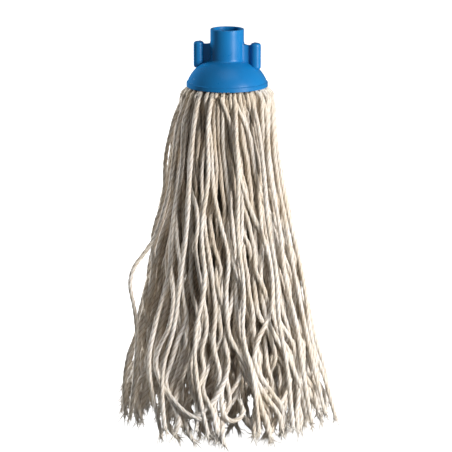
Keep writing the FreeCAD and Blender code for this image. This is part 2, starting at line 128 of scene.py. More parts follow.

# loose outer strands: body, real length, and the route's points, as in the CAD model but for
# strands 01, 07, 08, 14, 15 and 16, which are moved towards the photograph's outline
LOOSE = {
    "strand_01": ("tuft_01", 0.326, [
        (0.043, 0.008, -0.061), (0.044, 0.008, -0.084), (0.048, 0.013, -0.124),
        (0.058, 0.011, -0.168), (0.065, 0.020, -0.214), (0.077, 0.016, -0.262),
        (0.084, 0.028, -0.306), (0.098, 0.030, -0.348), (0.100, 0.036, -0.378)]),
    "strand_02": ("tuft_02", 0.306, [
        (0.033, 0.031, -0.061), (0.038, 0.036, -0.090), (0.038, 0.045, -0.135),
        (0.052, 0.046, -0.182), (0.052, 0.058, -0.230), (0.067, 0.056, -0.276),
        (0.063, 0.072, -0.318), (0.075, 0.070, -0.358)]),
    "strand_03": ("tuft_03", 0.309, [
        (0.013, 0.044, -0.061), (0.016, 0.050, -0.092), (0.012, 0.059, -0.140),
        (0.022, 0.066, -0.188), (0.016, 0.079, -0.238), (0.029, 0.085, -0.284),
        (0.024, 0.097, -0.326), (0.031, 0.098, -0.362)]),
    "strand_04": ("tuft_04", 0.308, [
        (-0.012, 0.044, -0.061), (-0.011, 0.052, -0.090), (-0.019, 0.057, -0.136),
        (-0.013, 0.069, -0.186), (-0.027, 0.075, -0.234), (-0.020, 0.088, -0.280),
        (-0.033, 0.094, -0.324), (-0.025, 0.101, -0.360)]),
    "strand_05": ("tuft_05", 0.309, [
        (-0.033, 0.031, -0.061), (-0.036, 0.038, -0.094), (-0.047, 0.038, -0.142),
        (-0.046, 0.053, -0.190), (-0.060, 0.052, -0.238), (-0.060, 0.067, -0.282),
        (-0.076, 0.061, -0.322), (-0.074, 0.074, -0.360)]),
    "strand_06": ("tuft_06", 0.305, [
        (-0.045, 0.009, -0.061), (-0.051, 0.008, -0.088), (-0.054, 0.015, -0.132),
        (-0.066, 0.012, -0.180), (-0.071, 0.023, -0.228), (-0.084, 0.017, -0.274),
        (-0.091, 0.029, -0.318), (-0.101, 0.025, -0.358)]),
    "strand_07": ("tuft_07", 0.321, [
        (-0.045, -0.007, -0.061), (-0.051, -0.006, -0.086), (-0.060, -0.009, -0.124),
        (-0.059, -0.012, -0.160), (-0.073, -0.008, -0.198), (-0.070, -0.018, -0.236),
        (-0.083, -0.013, -0.284), (-0.102, -0.025, -0.330), (-0.098, -0.020, -0.374)]),
    "strand_08": ("tuft_07", 0.319, [
        (-0.042, -0.018, -0.061), (-0.048, -0.019, -0.092), (-0.052, -0.022, -0.140),
        (-0.063, -0.028, -0.182), (-0.072, -0.031, -0.203), (-0.096, -0.034, -0.232),
        (-0.086, -0.031, -0.276), (-0.087, -0.042, -0.322), (-0.093, -0.044, -0.370)]),
    "strand_09": ("tuft_08", 0.327, [
        (-0.038, -0.026, -0.061), (-0.042, -0.029, -0.088), (-0.042, -0.036, -0.130),
        (-0.052, -0.044, -0.176), (-0.053, -0.052, -0.222), (-0.067, -0.057, -0.268),
        (-0.076, -0.064, -0.310), (-0.069, -0.074, -0.348), (-0.062, -0.081, -0.378)]),
    "strand_10": ("tuft_08", 0.316, [
        (-0.030, -0.035, -0.061), (-0.032, -0.041, -0.092), (-0.036, -0.048, -0.140),
        (-0.038, -0.058, -0.186), (-0.045, -0.066, -0.232), (-0.050, -0.070, -0.278),
        (-0.065, -0.074, -0.322), (-0.059, -0.085, -0.370)]),
    "strand_11": ("tuft_09", 0.319, [
        (-0.017, -0.042, -0.061), (-0.019, -0.048, -0.090), (-0.017, -0.056, -0.136),
        (-0.026, -0.062, -0.182), (-0.019, -0.073, -0.230), (-0.031, -0.079, -0.276),
        (-0.030, -0.092, -0.322), (-0.018, -0.098, -0.372)]),
    "strand_12": ("tuft_10", 0.316, [
        (0.008, -0.045, -0.061), (0.008, -0.052, -0.092), (0.011, -0.057, -0.140),
        (0.009, -0.067, -0.188), (0.017, -0.074, -0.236), (0.013, -0.086, -0.280),
        (0.027, -0.090, -0.322), (0.030, -0.097, -0.370)]),
    "strand_13": ("tuft_11", 0.314, [
        (0.026, -0.037, -0.061), (0.030, -0.042, -0.090), (0.035, -0.047, -0.132),
        (0.038, -0.058, -0.178), (0.047, -0.064, -0.222), (0.048, -0.075, -0.268),
        (0.058, -0.080, -0.312), (0.062, -0.087, -0.368)]),
    "strand_14": ("tuft_11", 0.318, [
        (0.036, -0.026, -0.061), (0.038, -0.027, -0.092), (0.040, -0.034, -0.136),
        (0.050, -0.039, -0.182), (0.054, -0.048, -0.230), (0.067, -0.050, -0.278),
        (0.072, -0.061, -0.322), (0.081, -0.064, -0.372)]),
    "strand_15": ("tuft_12", 0.312, [
        (0.042, -0.014, -0.061), (0.043, -0.015, -0.088), (0.046, -0.020, -0.132),
        (0.055, -0.021, -0.178), (0.063, -0.029, -0.226), (0.073, -0.030, -0.274),
        (0.082, -0.041, -0.318), (0.094, -0.044, -0.366)]),
    "strand_16": ("tuft_12", 0.325, [
        (0.043, -0.005, -0.061), (0.044, -0.005, -0.086), (0.049, -0.008, -0.128),
        (0.057, -0.006, -0.172), (0.067, -0.009, -0.212), (0.076, -0.008, -0.258),
        (0.081, -0.016, -0.304), (0.096, -0.014, -0.342), (0.105, -0.017, -0.378)]),
}

# the skirt's outline: depth below the rim, then its radius on the left and on the right
OUTLINE = [
    (0.000, 0.0345, 0.0345), (0.007, 0.0425, 0.0430), (0.025, 0.0455, 0.0430), (0.054, 0.0500, 0.0450),
    (0.083, 0.0550, 0.0490), (0.112, 0.0580, 0.0530), (0.136, 0.0640, 0.0570), (0.159, 0.0690, 0.0620),
    (0.182, 0.0740, 0.0680), (0.212, 0.0800, 0.0730), (0.241, 0.0870, 0.0800), (0.270, 0.0930, 0.0870),
    (0.295, 0.0985, 0.0965), (0.325, 0.1010, 0.1035), (0.350, 0.1010, 0.1045),
]


# ---- meshes -------------------------------------------------------------------------------

class Tubes:
    """Collects many twisted strands, and the wisps at their ends, into one mesh."""

    def __init__(self):
        self.points, self.quads, self.triangles, self.uvs = [], [], [], []
        self.tones, self.grooves = [], []
        self.count = 0

    def add(self, line, radii, sides, twist, lobes=0, lobe_depth=0.0, tone=0.5, rough=0.0):
        """One tube round a line of points; its rings turn with the twist, so edges follow the plies."""
        tangent = np.gradient(line, axis=0)
        tangent /= np.linalg.norm(tangent, axis=1)[:, None]
        across = transport(tangent)
        beside = np.cross(tangent, across)
        run = np.concatenate([[0], np.cumsum(np.linalg.norm(np.diff(line, axis=0), axis=1))])
        turn = np.arange(sides) / sides * 2 * math.pi
        angle = turn[None, :] + twist * run[:, None]
        wave = np.abs(np.cos(lobes * turn / 2)) if lobes else np.ones(sides)
        depth = np.broadcast_to(np.asarray(lobe_depth, float), (len(line),))
        shape = 1 - depth[:, None] * (1 - wave[None, :])
        reach = radii[:, None] * shape * (1 + random.normal(0, rough, shape.shape))
        ring = (line[:, None, :] + reach[..., None] * (np.cos(angle)[..., None] * across[:, None, :]
                                                       + np.sin(angle)[..., None] * beside[:, None, :]))
        rings, base = len(line), self.count
        index = base + np.arange(rings * sides).reshape(rings, sides)
        right = np.roll(index, -1, axis=1)
        quads = np.stack([index[:-1], right[:-1], right[1:], index[1:]], axis=-1).reshape(-1, 4)
        u0 = np.broadcast_to(np.arange(sides) / sides, (rings - 1, sides))
        u1 = u0 + 1 / sides
        v0 = np.broadcast_to(run[:-1, None], (rings - 1, sides))
        v1 = np.broadcast_to(run[1:, None], (rings - 1, sides))
        uv = np.stack([np.stack([u0, v0], -1), np.stack([u1, v0], -1),
                       np.stack([u1, v1], -1), np.stack([u0, v1], -1)], axis=2).reshape(-1, 2)
        self.points.append(ring.reshape(-1, 3))
        self.quads.append(quads)
        self.uvs.append(uv)
        self.grooves.append(np.broadcast_to(wave, (rings, sides)).reshape(-1))
        self.tones.append(np.repeat(np.broadcast_to(np.asarray(tone, float), (rings,)), sides))
        self.count += rings * sides
        self.cap(base, sides, flip=False)
        self.cap(base + (rings - 1) * sides, sides, flip=True)

    def cap(self, first, sides, flip):
        """Closes an end with quads across it, and one triangle where the sides are odd in number."""
        low, high = 0, sides - 1
        order = -1 if flip else 1
        while high - low >= 3:
            face = (low, high, high - 1, low + 1)[::order]
            self.quads.append(np.array([[first + corner for corner in face]]))
            self.uvs.append(np.zeros((4, 2)))
            low, high = low + 1, high - 1
        if high - low == 2:
            face = (low, high, low + 1)[::order]
            self.triangles.append([first + corner for corner in face])

    def build(self, name):
        """Makes the mesh and its object, with a tone, which carries painted shade and light, and a groove
        depth at every point.
        """
        quads = np.concatenate(self.quads)
        triangles = np.array(self.triangles, dtype=int).reshape(-1, 3)
        corners = np.concatenate([quads.reshape(-1), triangles.reshape(-1)])
        starts = np.concatenate([np.arange(len(quads)) * 4,
                                 len(quads) * 4 + np.arange(len(triangles)) * 3])
        points = np.concatenate(self.points)
        uv = np.concatenate(self.uvs + [np.zeros((len(triangles) * 3, 2))])
        mesh = bpy.data.meshes.new(name)
        mesh.vertices.add(len(points))
        mesh.vertices.foreach_set("co", points.reshape(-1))
        mesh.loops.add(len(corners))
        mesh.loops.foreach_set("vertex_index", corners)
        mesh.polygons.add(len(starts))
        mesh.polygons.foreach_set("loop_start", starts)
        mesh.polygons.foreach_set("use_smooth", np.ones(len(starts), dtype=bool))
        mesh.update(calc_edges=True)
        layer = mesh.uv_layers.new(name="UVMap")
        layer.data.foreach_set("uv", uv.reshape(-1))
        for label, values in (("tone", self.tones), ("groove", self.grooves)):
            attribute = mesh.attributes.new(label, "FLOAT", "POINT")
            attribute.data.foreach_set("value", np.concatenate(values).astype(np.float32))
        mesh.validate()
        piece = bpy.data.objects.new(name, mesh)
        bpy.context.collection.objects.link(piece)
        return piece


def transport(tangent):
    """A direction across the line, carried along it without turning about it."""
    across = np.empty_like(tangent)
    start = np.cross(tangent[0], (0.0, 1.0, 0.0))
    if np.linalg.norm(start) < 0.1:
        start = np.cross(tangent[0], (1.0, 0.0, 0.0))
    across[0] = start / np.linalg.norm(start)
    for index in range(1, len(tangent)):
        step = across[index - 1] - tangent[index] * np.dot(across[index - 1], tangent[index])
        across[index] = step / np.linalg.norm(step)
    return across


def smooth_line(points):
    """Points evenly spaced along a Catmull-Rom curve through the given ones."""
    points = np.asarray(points, float)
    padded = np.vstack([2 * points[0] - points[1], points, 2 * points[-1] - points[-2]])
    a, b, c, d = (padded[i:len(padded) - 3 + i] for i in range(4))
    share = (np.arange(8) / 8)[None, :, None]
    a, b, c, d = (x[:, None, :] for x in (a, b, c, d))
    dense = 0.5 * ((2 * b) + (c - a) * share + (2 * a - 5 * b + 4 * c - d) * share ** 2
                   + (3 * b - a - 3 * c + d) * share ** 3)
    dense = np.vstack([dense.reshape(-1, 3), points[-1]])
    run = np.concatenate([[0], np.cumsum(np.linalg.norm(np.diff(dense, axis=0), axis=1))])
    at = np.linspace(0, run[-1], max(int(round(run[-1] / RING_STEP)), 4))
    return np.stack([np.interp(at, run, dense[:, axis]) for axis in range(3)], axis=1)


def add_strand(tubes, line, tone, frayed=True, thick=None):
    """One soft three-ply strand, a little uneven, whose last stretch opens into wisps."""
    rings = len(line)
    along = np.arange(rings) * RING_STEP
    phase = random.uniform(0, 2 * math.pi, len(UNEVENNESS))
    uneven = 1 + sum(amount * np.sin(along / wave + start)
                     for (amount, wave), start in zip(UNEVENNESS, phase))
    if thick is None:
        thick = np.linspace(*FREE_RADIUS, rings)
    radii = thick * uneven * random.uniform(0.94, 1.06)
    depth = np.full(rings, PLY_DEPTH)
    down = np.clip((SKIRT_TOP - line[:, 2]) / (SKIRT_TOP - SKIRT_BOTTOM), 0, 1)
    # the strand's tone with painted shade near its top and painted light lower down
    tone_with_painted_light = np.clip(tone + PAINTED_LIGHT_DOWNWARDS * (down - OWN_TONE_AT), 0, 1)
    if frayed:
        open_end = np.clip(1 - (along[-1] - along) / FRAY_LENGTH, 0, 1)
        radii = radii * (1 + 0.22 * np.sin(open_end * math.pi) - 0.35 * open_end ** 4)
        depth = depth + FRAY_DEPTH * open_end
    tubes.add(line, radii, SIDES, 2 * math.pi / PLY_PITCH, PLIES, depth, tone_with_painted_light, rough=SURFACE_NOISE)
    if frayed:
        add_wisps(tubes, line, tone_with_painted_light[-1])
        add_fuzz(tubes, line, tone)


def add_fuzz(tubes, line, tone):
    """Short loose fibres that stand off a strand."""
    for _ in range(len(line) // RINGS_PER_FIBRE):
        index = random.integers(2, len(line) - 3)
        heading = line[index + 1] - line[index - 1]
        heading = heading / np.linalg.norm(heading)
        out = np.cross(heading, random.normal(0, 1, 3))
        out /= np.linalg.norm(out)
        reach = random.uniform(2.0, 4.5) * MM
        share = np.linspace(0, 1, len(FIBRE_RADII))[:, None]
        points = (line[index] + out * FIBRE_START
                  + reach * (out * 0.45 * share + heading * random.choice([-1, 1]) * share ** 1.5))
        tubes.add(points, np.array(FIBRE_RADII) * MM, 3, 0.0, tone=min(tone + 0.1, 1.0))


def add_wisps(tubes, line, tone):
    """The loosened threads at a strand's cut end."""
    tip, heading = line[-2], line[-1] - line[-4]
    heading = heading / np.linalg.norm(heading)
    for _ in range(WISPS):
        spread = random.normal(0, 0.26, 3)
        reach = random.uniform(4, 12) * MM
        start = tip + random.normal(0, 0.7 * MM, 3)
        way = heading + spread
        way /= np.linalg.norm(way)
        bend = random.normal(0, 0.4, 3)
        share = np.linspace(0, 1, 6)[:, None]
        points = start + reach * (way * share + bend * share ** 2 * 0.6)
        points[:, 2] = np.maximum(points[:, 2], LOWEST_WISP)
        radii = np.linspace(0.75, 0.12, 6) * MM * random.uniform(0.8, 1.2)
        tubes.add(points, radii, 5, 0.0, tone=tone)


# ---- routes -------------------------------------------------------------------------------

def outline_radius(depth, azimuth):
    """How far the skirt's outer strands stand from the axis, at a depth below the rim."""
    depths = [row[0] for row in OUTLINE]
    left = np.interp(depth, depths, [row[1] for row in OUTLINE])
    right = np.interp(depth, depths, [row[2] for row in OUTLINE])
    share = (1 + np.cos(azimuth)) / 2
    return left * (1 - share) + right * share


def spline_points(name, points):
    """The points of the smooth NURBS line that a route's points control."""
    curve = bpy.data.curves.new(name + "_route", "CURVE")
    curve.dimensions = "3D"
    curve.resolution_u = 16
    spline = curve.splines.new("NURBS")
    spline.points.add(len(points) - 1)
    for control, spot in zip(spline.points, points):
        control.co = (*spot, 1)
    spline.order_u = 3
    spline.use_endpoint_u = True
    holder = bpy.data.objects.new(name + "_route", curve)
    mesh = bpy.data.meshes.new_from_object(holder)
    line = np.array([vertex.co for vertex in mesh.vertices], float)
    bpy.data.meshes.remove(mesh)
    bpy.data.objects.remove(holder)
    bpy.data.curves.remove(curve)
    return line


# from inside the bell's mouth out over the lip's edge: radius, and height over the skirt's top
LEAD_IN = ((0.0365, 0.001), (0.0400, -0.0030), (0.0450, -0.0150))


def lead_in(first):
    """From inside the bell's mouth, out over the lip's edge and down to a route's first stretch."""
    azimuth = math.atan2(first[1], first[0])
    return [(radius * math.cos(azimuth), radius * math.sin(azimuth), SKIRT_TOP + rise)
            for radius, rise in LEAD_IN]


def even(line):
    """The same line with evenly spaced points."""
    run = np.concatenate([[0], np.cumsum(np.linalg.norm(np.diff(line, axis=0), axis=1))])
    at = np.linspace(0, run[-1], int(round(run[-1] / RING_STEP)) + 1)
    return np.stack([np.interp(at, run, line[:, axis]) for axis in range(3)], axis=1)


# prominent strands of the front, from the lip down: how far right, how high, and how far proud
FEATURES = [
    # the long loop left of the middle, out to the left and back under
    [(-0.034, -0.064, 0.000), (-0.039, -0.100, 0.000), (-0.046, -0.150, 0.001), (-0.052, -0.190, 0.002),
     (-0.054, -0.212, 0.002), (-0.051, -0.249, 0.002), (-0.055, -0.276, 0.002), (-0.064, -0.296, 0.003),
     (-0.068, -0.312, 0.003), (-0.063, -0.328, 0.003), (-0.050, -0.343, 0.003), (-0.037, -0.353, 0.003),
     (-0.023, -0.357, 0.001), (-0.012, -0.354, -0.004)],
    # left of it, a slack strand that swings in and out again
    [(-0.038, -0.066, 0.000), (-0.039, -0.085, 0.001), (-0.041, -0.112, 0.001), (-0.047, -0.140, 0.002),
     (-0.049, -0.165, 0.002), (-0.048, -0.193, 0.002), (-0.044, -0.221, 0.001), (-0.042, -0.245, 0.000),
     (-0.039, -0.268, 0.001), (-0.047, -0.288, 0.002), (-0.053, -0.309, 0.001), (-0.058, -0.326, 0.001),
     (-0.054, -0.341, 0.001), (-0.046, -0.356, 0.000), (-0.049, -0.374, 0.000)],
    # three slack ones beside the hollow
    [(-0.029, -0.062, 0.000), (-0.033, -0.095, 0.000), (-0.036, -0.122, 0.001), (-0.035, -0.145, 0.001),
     (-0.029, -0.164, 0.001), (-0.028, -0.182, 0.001), (-0.030, -0.198, 0.001), (-0.028, -0.216, 0.001),
     (-0.024, -0.238, 0.001), (-0.020, -0.262, 0.002), (-0.020, -0.278, 0.002), (-0.024, -0.296, 0.002),
     (-0.022, -0.312, 0.001), (-0.027, -0.332, 0.000), (-0.023, -0.354, 0.000), (-0.018, -0.370, 0.000)],
    [(-0.024, -0.062, -0.005), (-0.027, -0.092, -0.005), (-0.031, -0.125, -0.003), (-0.034, -0.160, -0.003),
     (-0.034, -0.200, -0.003), (-0.034, -0.235, -0.002), (-0.029, -0.258, 0.000), (-0.026, -0.278, 0.001),
     (-0.031, -0.293, 0.001), (-0.035, -0.310, 0.001), (-0.034, -0.328, 0.001), (-0.028, -0.346, 0.001),
     (-0.029, -0.366, 0.000)],
    [(-0.014, -0.062, -0.001), (-0.019, -0.095, -0.002), (-0.024, -0.130, -0.001), (-0.022, -0.171, 0.000),
     (-0.017, -0.207, 0.001), (-0.014, -0.226, 0.001), (-0.011, -0.258, 0.001), (-0.013, -0.288, 0.000),
     (-0.007, -0.318, 0.000), (-0.012, -0.344, 0.000), (-0.007, -0.368, 0.000)],
    # the bright one that crosses the middle and swings to the right
    [(-0.020, -0.066, 0.000), (-0.017, -0.087, 0.002), (-0.015, -0.104, 0.002), (-0.014, -0.129, 0.002),
     (-0.012, -0.151, 0.002), (-0.006, -0.178, 0.003), (0.000, -0.200, 0.003), (0.001, -0.218, 0.003),
     (-0.001, -0.239, 0.003), (0.000, -0.264, 0.003), (0.003, -0.282, 0.003), (0.013, -0.299, 0.003),
     (0.021, -0.314, 0.003), (0.028, -0.331, 0.003), (0.033, -0.348, 0.003), (0.038, -0.363, 0.002),
     (0.040, -0.376, 0.001)],
    # its partner, that swings left to meet the long loop
    [(-0.004, -0.062, 0.000), (-0.004, -0.100, -0.001), (0.000, -0.140, -0.002), (0.005, -0.180, -0.002),
     (0.008, -0.215, -0.002), (0.005, -0.245, -0.002), (0.000, -0.270, -0.001), (-0.002, -0.286, 0.000),
     (0.001, -0.303, 0.001), (-0.001, -0.317, 0.002), (-0.007, -0.330, 0.003), (-0.014, -0.341, 0.003),
     (-0.024, -0.351, 0.002), (-0.036, -0.358, -0.002)],
    # right of the middle
    [(0.003, -0.062, 0.000), (0.008, -0.095, 0.000), (0.012, -0.130, 0.001), (0.014, -0.160, 0.001),
     (0.013, -0.195, 0.001), (0.009, -0.230, 0.001), (0.009, -0.258, 0.001), (0.013, -0.283, 0.001),
     (0.022, -0.305, 0.001), (0.028, -0.323, 0.001), (0.038, -0.340, 0.001), (0.049, -0.356, 0.001),
     (0.052, -0.371, 0.000)],
    # the long S on the right
    [(-0.005, -0.062, 0.002), (0.004, -0.087, 0.002), (0.008, -0.117, 0.002), (0.014, -0.140, 0.003),
     (0.023, -0.167, 0.003), (0.034, -0.192, 0.003), (0.041, -0.217, 0.003), (0.043, -0.239, 0.003),
     (0.042, -0.255, 0.003), (0.037, -0.270, 0.003), (0.029, -0.286, 0.003), (0.026, -0.302, 0.003),
     (0.031, -0.318, 0.002), (0.043, -0.336, 0.002), (0.052, -0.350, 0.001), (0.055, -0.370, 0.000)],
    # slanting away to the right
    [(0.007, -0.062, 0.001), (0.020, -0.092, 0.001), (0.024, -0.113, 0.001), (0.027, -0.135, 0.001),
     (0.036, -0.162, 0.001), (0.047, -0.184, 0.001), (0.057, -0.212, 0.001), (0.065, -0.245, 0.001),
     (0.073, -0.283, 0.000), (0.081, -0.318, 0.000), (0.084, -0.345, 0.000), (0.088, -0.366, 0.000)],
    [(0.012, -0.062, 0.000), (0.020, -0.095, 0.000), (0.027, -0.130, 0.000), (0.031, -0.165, 0.000),
     (0.033, -0.200, 0.000), (0.032, -0.235, 0.000), (0.036, -0.262, 0.001), (0.042, -0.278, 0.002),
     (0.051, -0.294, 0.002), (0.059, -0.308, 0.003), (0.065, -0.323, 0.003), (0.072, -0.342, 0.002),
     (0.076, -0.362, 0.001)],
    [(0.020, -0.064, 0.000), (0.028, -0.095, 0.000), (0.033, -0.130, 0.000), (0.039, -0.165, 0.000),
     (0.044, -0.200, 0.000), (0.048, -0.230, 0.000), (0.051, -0.257, 0.000), (0.059, -0.285, 0.000),
     (0.062, -0.312, 0.000), (0.068, -0.338, 0.000), (0.066, -0.360, 0.000), (0.067, -0.374, 0.000)],
    # one whose end curls up in a small hook at the hem
    [(-0.010, -0.062, -0.005), (-0.012, -0.110, -0.007), (-0.010, -0.170, -0.008), (-0.006, -0.240, -0.008),
     (-0.004, -0.300, -0.006), (-0.005, -0.330, -0.002), (-0.005, -0.345, 0.001), (-0.002, -0.354, 0.002),
     (0.004, -0.358, 0.002), (0.011, -0.356, 0.002), (0.015, -0.350, 0.001), (0.013, -0.343, -0.001)],
]

# the free strands, outermost first: how many, their radius at the bell's mouth, the share of the
# outline they end at, how much of the fan's slant they take, the depth over which they settle,
# how much higher they end, the range of their tones, lower for inner layers as painted shade, and whether
# they hang from the head itself
Layer = namedtuple("Layer", "count mouth ends slant settling lift tones inner")
LAYERS = [
    Layer(58, 0.0344, (0.91, 0.99), 1.0, 0.05, 0 * MM, (0.72, 1.0), False),
    Layer(76, 0.0302, (0.80, 0.975), 0.35, 0.14, 1 * MM, (0.42, 0.78), False),
    Layer(76, 0.0259, (0.45, 0.90), 0.0, 0.20, 3 * MM, (0.22, 0.52), True),
    Layer(40, 0.0242, (0.08, 0.55), 0.0, 0.20, 4 * MM, (0.2, 0.4), True),
]
CLUMPS = 34

# a strand's waves on its way down: shortest and longest, then how far sideways and in or out
Wave = namedtuple("Wave", "shortest longest sway heave")
WAVES = [
    Wave(0.12, 0.22, 6.0 * MM, 3.0 * MM),
    Wave(0.06, 0.10, 3.2 * MM, 1.8 * MM),
    Wave(0.028, 0.045, 0.7 * MM, 0.0 * MM),
]

# the share of strands whose last stretch curls aside, where it starts, how far it goes, and how
# far in the last stretch may tuck
CURLING = 0.7
CURL_FROM = 0.72
CURL_REACH = (5 * MM, 24 * MM)
TUCK = 8 * MM

# the slant of the strands on their way down, strongest in front, where they all lean right
FAN_CENTRE = math.radians(278)
FAN_WIDTH = math.radians(42)
FAN_TURN = 0.62
FAN_RIPPLE = 0.08

# how low the strands' cut ends hang: on the right, at the back, on the left, in front
HEM_LEVELS = (-0.372, -0.366, -0.369, -0.380)
HEM_SCATTER = 0.006
LOWEST_END = SKIRT_BOTTOM - 10 * MM

# strands push each other aside: the room each takes, under the lip and below it, the depths over
# which that grows, and how strongly a round pushes, smooths and draws back
ROOM = (3.7 * MM, 4.3 * MM)
ROOM_GROWS = 30 * MM
HELD_IN_BELL = 0.2
HELD_DOWN_TO = 20 * MM
PUSH = 0.35
SMOOTHING = 0.3
DRAW_BACK = 0.985
ROUNDS, QUICK_ROUNDS = 70, 12
FAR_AWAY = 9.0

# the levels at which the free strands are laid: close together at the lip, wider below it
LEVELS = -np.concatenate([np.arange(0.050, 0.078, 0.0025), np.arange(0.080, 0.399, 0.005)])


def front_spot(right, level, proud):
    """A place on the front of the skirt, from how far right and how high it is."""
    front, least_front = -0.5, 8 * MM
    for _ in range(4):
        azimuth = math.atan2(front, right)
        reach = outline_radius(RIM_LEVEL - level, azimuth) - STRAND_RADIUS + proud
        front = -math.sqrt(max(reach ** 2 - right ** 2, least_front ** 2))
    return (right, front, level)


def hem_level(azimuth):
    """How low the cut ends hang at an azimuth."""
    quarter = np.array([0, 0.5, 1, 1.5, 2]) * math.pi
    return np.interp(azimuth % (2 * math.pi), quarter, HEM_LEVELS + HEM_LEVELS[:1])


def smooth_step(value):
    """A smooth rise from 0 to 1."""
    value = np.clip(value, 0, 1)
    return value * value * (3 - 2 * value)


def fan(azimuth):
    """How far round a strand slants on its way down."""
    off = (azimuth - FAN_CENTRE + math.pi) % (2 * math.pi) - math.pi
    return FAN_TURN * math.exp(-(off / FAN_WIDTH) ** 2) + FAN_RIPPLE * math.sin(3 * azimuth)


def free_strands(depths, taken):
    """Wished-for places of the strands that no route fixes, at each depth below the rim."""
    places, layers = [], []
    clump_phase = random.uniform(0, 2 * math.pi, (CLUMPS, 3))
    clump_shift = random.normal(0, 0.06, CLUMPS)
    share = depths / depths[-1]
    outermost = LAYERS[0]
    for layer in LAYERS:
        slots = np.arange(layer.count) / layer.count * 2 * math.pi + random.uniform(0, 0.1)
        if layer is outermost:
            for azimuth in taken:
                gap = np.abs((slots - azimuth + math.pi) % (2 * math.pi) - math.pi)
                slots = np.delete(slots, np.argmin(gap))
        for azimuth in slots:
            azimuth += random.normal(0, 0.03)
            clump = int(azimuth / (2 * math.pi) * CLUMPS) % CLUMPS
            centre = (clump + 0.5) / CLUMPS * 2 * math.pi + clump_shift[clump]
            gather = (centre - azimuth + math.pi) % (2 * math.pi) - math.pi
            slant = fan(azimuth) * layer.slant
            bearing = (azimuth + gather * 0.3 * smooth_step(depths / 0.12)
                       + slant * smooth_step(depths / 0.17) + random.normal(0, 0.10) * share)
            ends = random.uniform(*layer.ends)
            settle = smooth_step(depths / layer.settling)
            radius = (outline_radius(depths, bearing)
                      * (layer.mouth / outermost.mouth * (1 - settle) + ends * settle))
            tidy = smooth_step(depths / 0.07)
            grow = (0.35 + 1.45 * share ** 1.8) * tidy
            phase = clump_phase[clump] + random.normal(0, 0.9, 3)
            turns = [depths / random.uniform(wave.shortest, wave.longest) * 2 * math.pi + start
                     for wave, start in zip(WAVES, phase)]
            sway = sum(wave.sway * np.sin(turn) for wave, turn in zip(WAVES, turns)) * grow
            heave = sum(wave.heave * np.cos(turn) for wave, turn in zip(WAVES, turns)) * grow
            late = np.clip((share - CURL_FROM) / (1 - CURL_FROM), 0, 1) ** 2
            if random.random() < CURLING:
                sway = sway + random.choice([-1, 1]) * random.uniform(*CURL_REACH) * late
            radius = radius + heave - random.uniform(0, TUCK) * late
            places.append(np.stack([radius * np.cos(bearing) - sway * np.sin(bearing),
                                    radius * np.sin(bearing) + sway * np.cos(bearing)], axis=1))
            layers.append(layer)
    return np.array(places), layers


def at_levels(line):
    """Where a fixed line crosses each level, and far away above and below its ends."""
    order = np.argsort(line[:, 2])
    line = line[order]
    spots = np.stack([np.interp(LEVELS, line[:, 2], line[:, axis]) for axis in (0, 1)], axis=1)
    outside = (LEVELS < line[0, 2]) | (LEVELS > line[-1, 2])
    spots[outside] = FAR_AWAY
    return spots


def settle_strands(wished, fixed, rounds):
    """Lets the strands push each other aside, level by level, while each stays a smooth line."""
    count = len(wished)
    offset = np.zeros_like(wished)
    room = np.interp(RIM_LEVEL - LEVELS, [0, ROOM_GROWS], ROOM)
    hold = np.interp(RIM_LEVEL - LEVELS, [0, HELD_DOWN_TO], [HELD_IN_BELL, 1.0])[None, :, None]
    for _ in range(rounds):
        now = wished + offset
        everyone = np.concatenate([now, fixed]).transpose(1, 0, 2)
        gap = everyone[:, :count, None, :] - everyone[:, None, :, :]
        distance = np.sqrt((gap ** 2).sum(-1)) + 1e-9
        overlap = np.clip(room[:, None, None] - distance, 0, None)
        own = np.arange(count)
        overlap[:, own, own] = 0
        push = (gap / distance[..., None] * overlap[..., None]).sum(axis=2) * PUSH
        offset = offset + push.transpose(1, 0, 2) * hold
        bend = np.zeros_like(offset)
        bend[:, 1:-1] = offset[:, :-2] - 2 * offset[:, 1:-1] + offset[:, 2:]
        bend[:, -1] = offset[:, -2] - offset[:, -1]
        offset = (offset + SMOOTHING * bend) * DRAW_BACK
    return wished + offset


# ---- materials ----------------------------------------------------------------------------

def new_material(name):
    """A material, its nodes and links, and its shader."""
    material = bpy.data.materials.new(name)
    material.use_nodes = True
    nodes = material.node_tree.nodes
    return material, nodes, material.node_tree.links, nodes["Principled BSDF"]


def node(nodes, kind, **values):
    """A node with some of its inputs or settings given."""
    made = nodes.new(kind)
    for key, value in values.items():
        if key in made.inputs:
            made.inputs[key].default_value = value
        else:
            setattr(made, key, value)
    return made


def ramp(nodes, stops):
    """A colour ramp through the given positions and colours."""
    made = nodes.new("ShaderNodeValToRGB")
    elements = made.color_ramp.elements
    while len(elements) < len(stops):
        elements.new(0.5)
    for element, (position, colour) in zip(elements, stops):
        element.position = position
        element.color = (*colour, 1)
    return made


